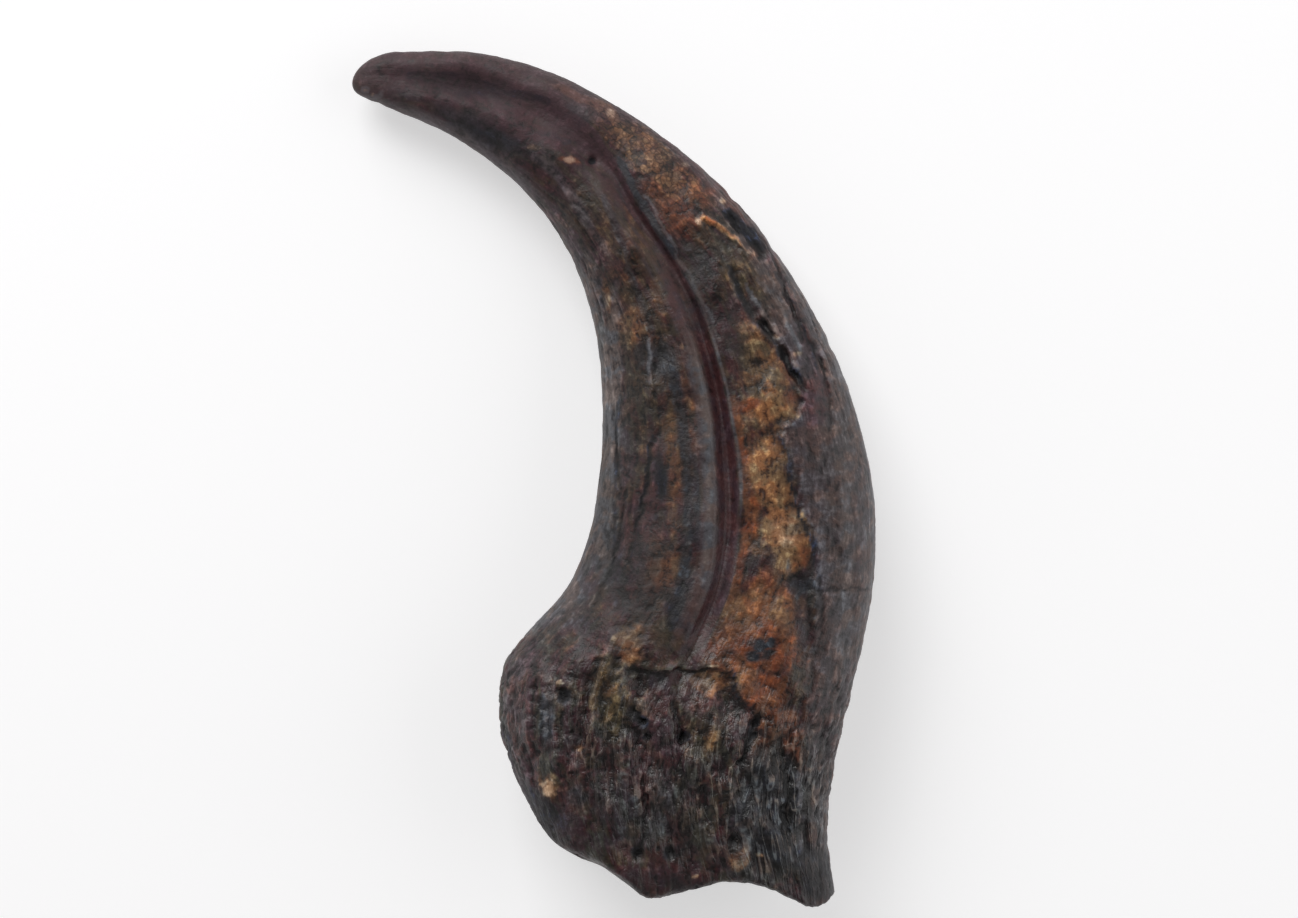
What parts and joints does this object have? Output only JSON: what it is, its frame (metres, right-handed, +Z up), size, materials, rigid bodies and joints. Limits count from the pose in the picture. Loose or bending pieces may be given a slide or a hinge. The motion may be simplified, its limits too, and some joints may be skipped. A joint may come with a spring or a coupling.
{
  "type": "fossil oviraptor claw",
  "caption": "Petrified hand claw of an oviraptor: a strongly hooked, grooved blade on a deep, rough base with a flexor knob and a cupped joint face, lying on its flank.",
  "frame": {"origin": "middle of the claw's outline, on the surface it lies on", "axes": "+Z up from that surface, through the two flanks; +Y from the joint end towards the tip; +X from the inner (palmar) edge to the outer (dorsal) edge"},
  "size_m": [0.0706, 0.1148, 0.0238],
  "materials": {
    "petrified_bone": "dark brown, purple-grey and black mineralised bone with rust and ochre patches, satin where the claw is smooth and dull where the base is rough"
  },
  "bodies": {
    "root": {"claw": "petrified_bone"}
  },
  "joints": []
}
